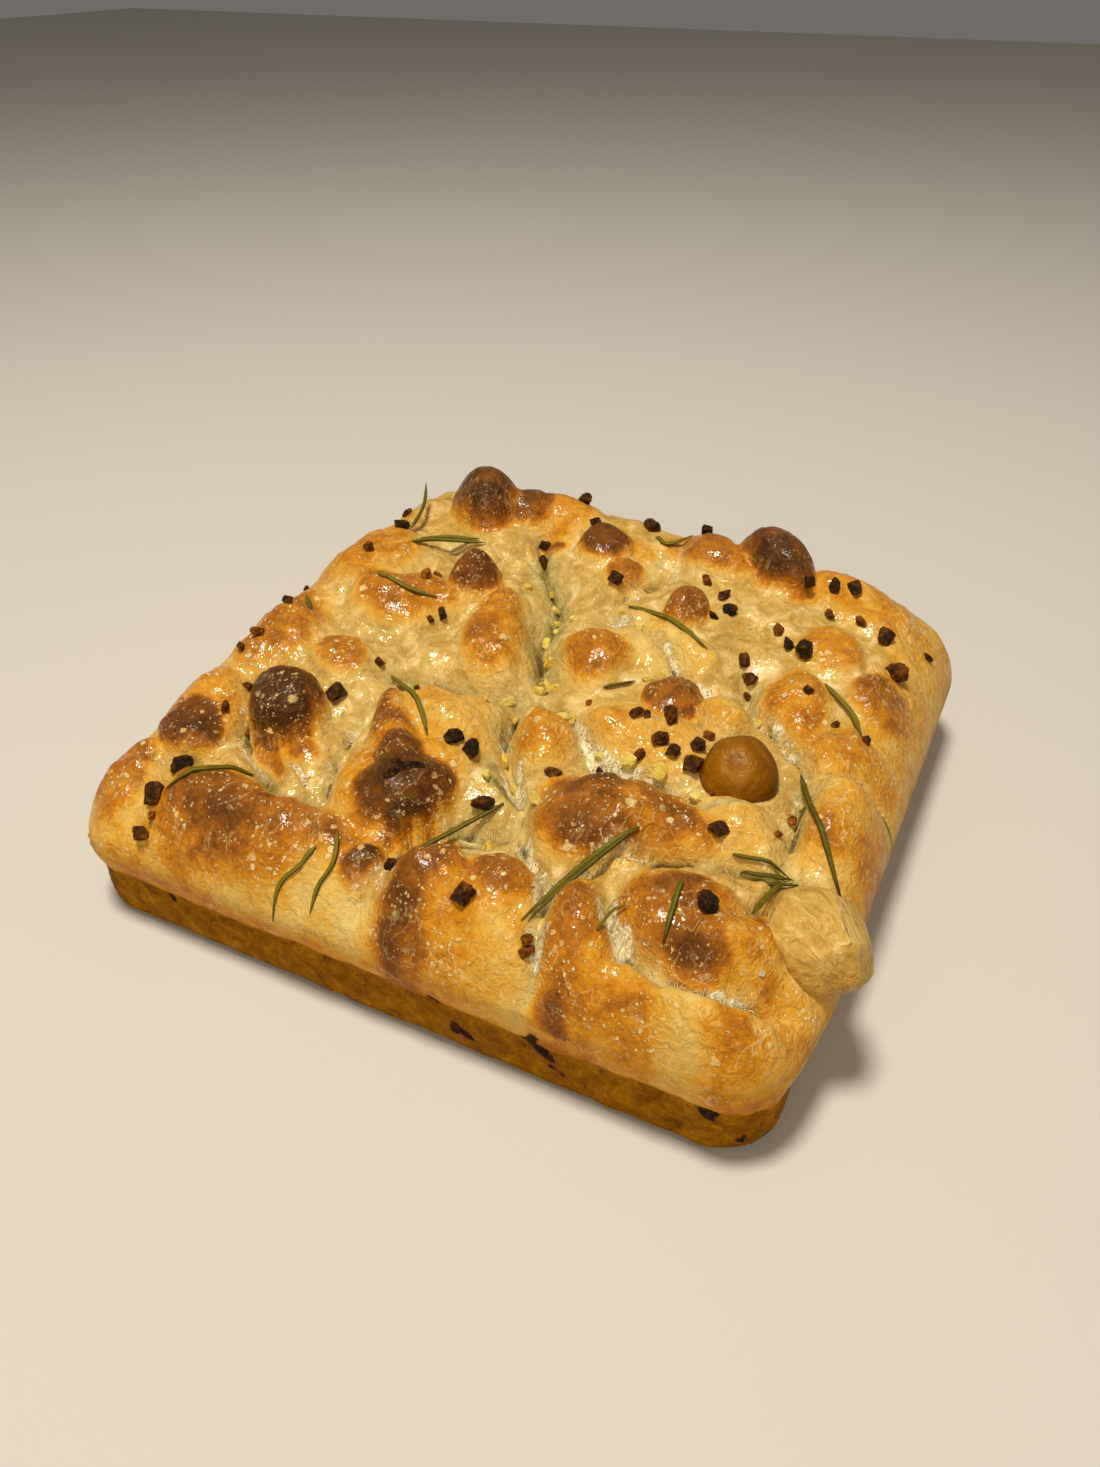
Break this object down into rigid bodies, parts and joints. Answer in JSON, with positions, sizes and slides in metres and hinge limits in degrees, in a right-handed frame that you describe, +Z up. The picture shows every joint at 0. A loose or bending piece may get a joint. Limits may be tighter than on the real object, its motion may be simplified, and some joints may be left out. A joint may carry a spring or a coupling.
{
  "type": "focaccia",
  "caption": "Square pan-baked focaccia with a tall, dimpled and blistered crust, chopped garlic and rosemary needles baked in.",
  "frame": {"origin": "middle of the flat underside", "axes": "+X to the right along the front side, +Y towards the back, +Z up"},
  "size_m": [0.2175, 0.2045, 0.0762],
  "materials": {
    "crust": "oiled, baked crust",
    "blister": "thin glossy bubble skin",
    "garlic": "roasted, slightly glossy",
    "rosemary": "dried leaf",
    "salt": "flaky crystals"
  },
  "bodies": {
    "root": {"focaccia": "crust"}
  },
  "joints": []
}
